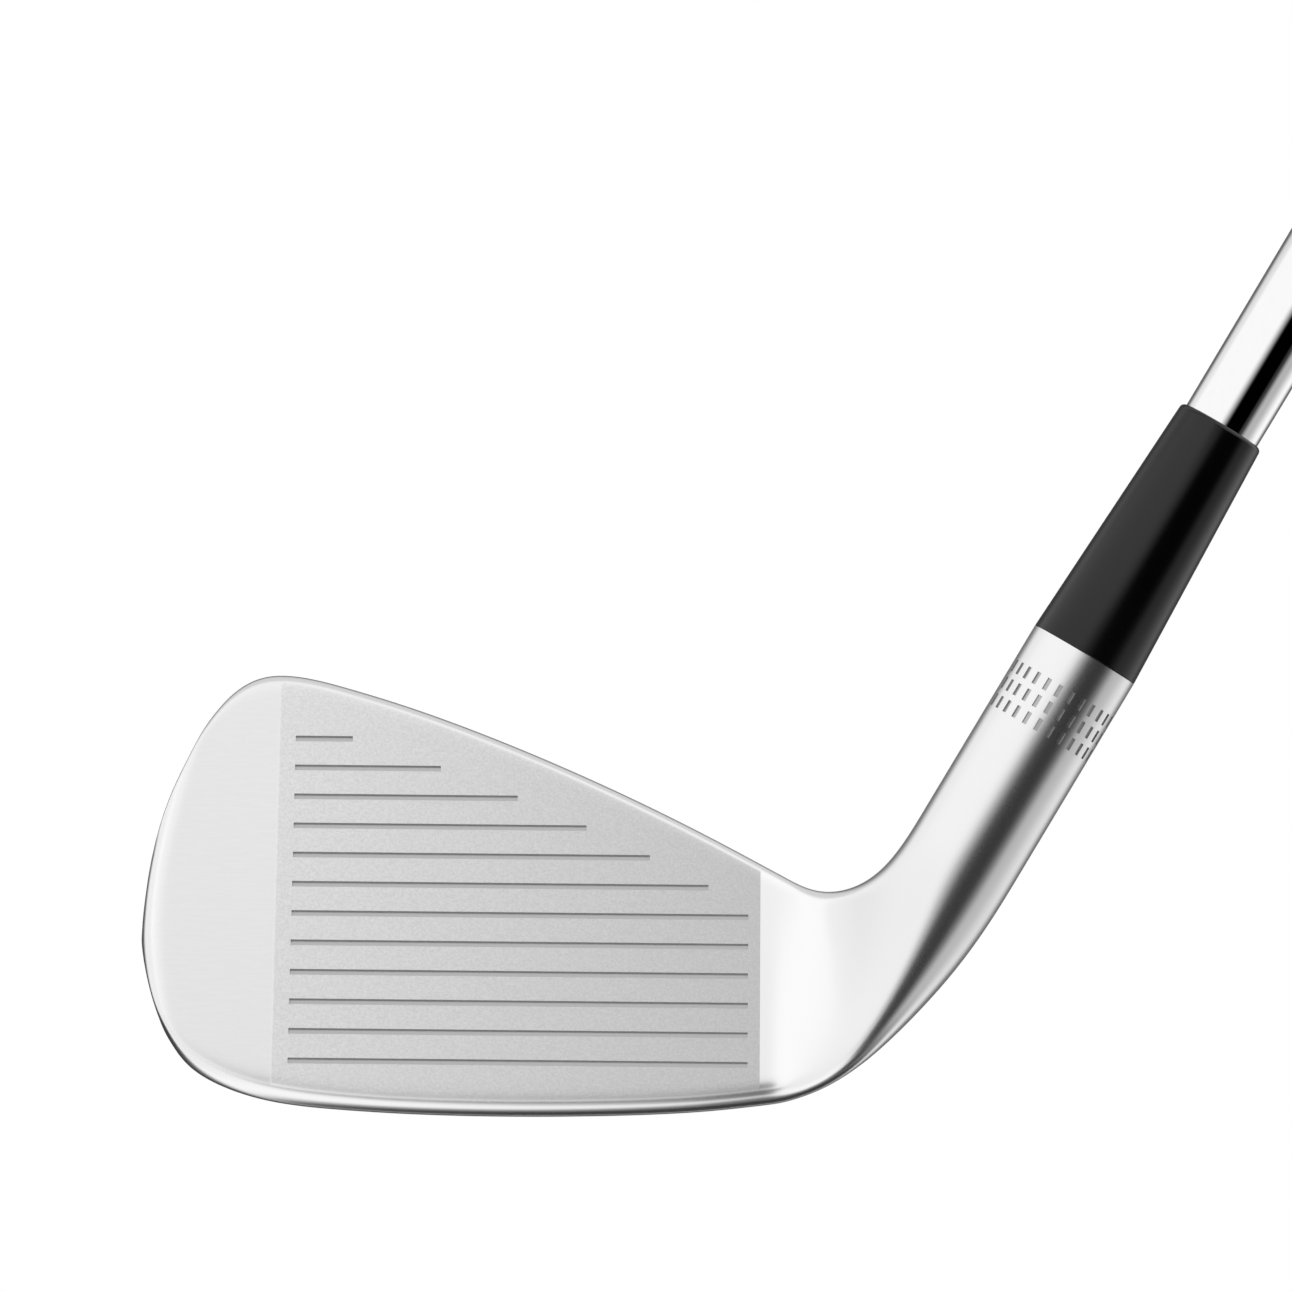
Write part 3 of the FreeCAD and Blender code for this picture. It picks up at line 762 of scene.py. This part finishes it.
def make_grip():
    low, high, wide = measured("grip_sleeve")
    length = high - low
    core = measured("shaft")[2]
    tape_low, _, taped = measured("grip_tape")

    def outer(share):
        """Radius of the grip at a share of its length; a smooth swell, close to the CAD's."""
        swell = GRIP_SWELL_EVEN * share + (1 - GRIP_SWELL_EVEN) * share ** GRIP_SWELL_POWER
        return GRIP_MOUTH_R + (wide - GRIP_MOUTH_R) * swell

    def tread(turn, r, s):
        """Depth of the crossing spiral cuts there."""
        share = (s - low) / length
        if r < TREAD_OUTSIDE_R or share < TREAD_FROM or share > TREAD_TO:
            return 0.0
        a = math.sin(TREAD_LINES * turn + s / TREAD_LEAD)
        b = math.sin(TREAD_LINES * turn - s / TREAD_LEAD)
        cut = max(0.0, 1 - abs(a) / TREAD_W), max(0.0, 1 - abs(b) / TREAD_W)
        fade = min(1.0, (share - TREAD_FROM) / TREAD_FADE, (TREAD_TO - share) / TREAD_FADE)
        return TREAD_DEPTH * max(cut) * max(fade, 0.0)

    outline = []
    for k in range(GRIP_LIP_STEPS):
        turn = k * math.pi / 2 / GRIP_LIP_STEPS
        outline.append((GRIP_MOUTH_R - GRIP_LIP_R + GRIP_LIP_R * math.sin(turn),
                        low + GRIP_LIP_R * (1 - math.cos(turn))))
    for k in range(1, GRIP_ROWS + 1):
        share = k / GRIP_ROWS
        outline.append((outer(share) - GRIP_INSET, low + GRIP_LIP_R + (length - GRIP_LIP_R) * share))
    outline += [(taped, high), (taped, tape_low), (core, tape_low), (core, low)]
    grip = lathe("grip_body", outline, 224, [rubber()], tread)
    crease(grip, 60)
    stands_for(grip, "grip_sleeve")


def make_cap():
    low, high, wide = measured("butt_cap")
    disc = high - CAP_T
    inner_rim, inner_floor, outer_floor, outer_rim = CAP_RING
    floor = high - CAP_RING_DEPTH
    corners = [(VENT_R, low, 0), (CAP_STEM_R, low, 0.3), (CAP_STEM_R, disc, 0), (wide, disc, 0.4),
               (wide, high, 1.9), (outer_rim, high, 0.3), (outer_floor, floor, 0.2),
               (inner_floor, floor, 0.2), (inner_rim, high, 0.3), (VENT_R + VENT_FLARE, high, 0.2),
               (VENT_R, high - VENT_FLARE, 0)]
    cap = lathe("grip_butt_cap", rounded(corners, 6), 224, [rubber()])
    crease(cap, 50)
    stands_for(cap, "butt_cap")


def finish_hidden_nodes():
    """The CAD pieces kept as they are, all of them inside the club."""
    for node, material in (("hosel_glue", glue()), ("tip_weight", brass()), ("grip_tape", crepe_tape())):
        slots = frame["nodes"][node].data.materials
        slots.clear()
        slots.append(material)


# ---------------------------------------------------------------- studio
CAMERA_AT = Vector((-0.0190, -1.030, 0.0546))
CAMERA_ROLL = math.radians(0.573)
CAMERA_LENS = 248.0


def make_camera():
    data = bpy.data.cameras.new("camera")
    data.lens = CAMERA_LENS
    data.clip_start = 0.05
    camera = bpy.data.objects.new("camera", data)
    bpy.context.scene.collection.objects.link(camera)
    right = Vector((math.cos(CAMERA_ROLL), 0, math.sin(CAMERA_ROLL)))
    up = Vector((-math.sin(CAMERA_ROLL), 0, math.cos(CAMERA_ROLL)))
    turn = Matrix((right, up, right.cross(up))).transposed()
    camera.matrix_world = Matrix.Translation(CAMERA_AT) @ turn.to_4x4()
    bpy.context.scene.camera = camera


# a dark flag: azimuth seen from the front, angle away from the front, radius that is fully dark,
# width of its soft edge, all in degrees, and how dark it is
FLAGS = ((-34, 30, 18, 8, 1.0), (-59, 58, 8, 18, 0.93), (-71, 88, 26, 13, 0.8),
         (-78, 106, 20, 14, 1.0), (-140, 140, 20, 22, 0.9), (81, 27, 7, 6, 0.9),
         (102, 113, 36, 8, 0.35), (0, 180, 30, 28, 0.85))
LOW_FLAG = (172, 70, 45, 20, 0.12)  # one more, fading out in the directions that lean up the shaft
DARKEST = 0.04                      # least light in all the other directions


def flag_shade(sh, away, azimuth, angle, full, fade, depth):
    """Share of light left by a round flag with a soft edge."""
    a, b = math.radians(azimuth), math.radians(angle)
    centre = (math.cos(a) * math.sin(b), -math.cos(b), math.sin(a) * math.sin(b))
    off = sh.math("ARCCOSINE", sh.vector("DOT_PRODUCT", away, centre))
    return sh.degrees(off, full, full + fade, 1.0 - depth, 1.0)


def make_world():
    """White studio as reflections see it; a dark banner and flags shape the chrome."""
    world = bpy.data.worlds.new("studio")
    world.use_nodes = True
    bpy.context.scene.world = world
    sh = Shader(world.node_tree)
    away = sh.node("ShaderNodeTexCoord").outputs["Generated"]
    side = Vector((AXIS[2], 0, -AXIS[0]))

    turn = sh.math("ARCTAN2", sh.vector("DOT_PRODUCT", away, tuple(side)),
                   sh.math("MULTIPLY", sh.split(away)[1], -1.0))
    lean = sh.vector("DOT_PRODUCT", away, tuple(AXIS))
    upper = sh.ramp(lean, 0.030, 0.042)
    near_edge = sh.blend(upper, sh.degrees(turn, -24, 2), sh.degrees(turn, -14, 11))
    far_rise = sh.blend(upper, sh.degrees(turn, 85, 150, 0.0, 0.35), sh.degrees(turn, 81, 120, 0.0, 0.55))
    far_edge = sh.math("ADD", sh.degrees(turn, 56, 74, 0.0, 0.45), far_rise)
    ends = sh.math("MULTIPLY", sh.ramp(lean, -0.39, 0.11), sh.ramp(lean, 0.5, 0.8, 1.0, 0.0))
    banner = sh.math("MULTIPLY", near_edge, sh.math("SUBTRACT", 1.0, far_edge))
    light = sh.math("SUBTRACT", 1.0, sh.math("MULTIPLY", banner, ends))
    for flag in FLAGS:
        light = sh.math("MULTIPLY", light, flag_shade(sh, away, *flag))
    light = sh.math("MULTIPLY", light, sh.blend(upper, flag_shade(sh, away, *LOW_FLAG), 1.0))
    light = sh.math("MAXIMUM", light, sh.blend(upper, DARKEST, 0.0))
    studio = sh.node("ShaderNodeBackground")
    sh.feed(studio.inputs[0], light)
    plain = sh.node("ShaderNodeBackground")
    sh.feed(plain.inputs[0], (1.0, 1.0, 1.0, 1.0))
    choose = sh.node("ShaderNodeMixShader")
    sh.feed(choose.inputs[0], sh.node("ShaderNodeLightPath").outputs["Is Camera Ray"])
    sh.tree.links.new(studio.outputs[0], choose.inputs[1])
    sh.tree.links.new(plain.outputs[0], choose.inputs[2])
    sh.tree.links.new(choose.outputs[0], sh.node("ShaderNodeOutputWorld").inputs[0])


def make_floor():
    """Plain pale floor, lit evenly to the backdrop's white."""
    half, below = 3.0, 0.0004
    mesh = bpy.data.meshes.new("floor")
    mesh.from_pydata([(-half, -half, -below), (half, -half, -below), (half, half, -below),
                      (-half, half, -below)], [], [(0, 1, 2, 3)])
    material = bpy.data.materials.new("floor_white")
    material.use_nodes = True
    sh = Shader(material.node_tree)
    glow = sh.node("ShaderNodeEmission")
    sh.tree.links.new(glow.outputs[0], sh.node("ShaderNodeOutputMaterial").inputs[0])
    mesh.materials.append(material)
    floor = bpy.data.objects.new("floor", mesh)
    floor.visible_glossy = False
    bpy.context.scene.collection.objects.link(floor)


make_head()
make_ferrule()
make_shaft()
make_band()
make_grip()
make_cap()
finish_hidden_nodes()
make_camera()
make_world()
make_floor()
bpy.context.scene.view_settings.view_transform = "Standard"
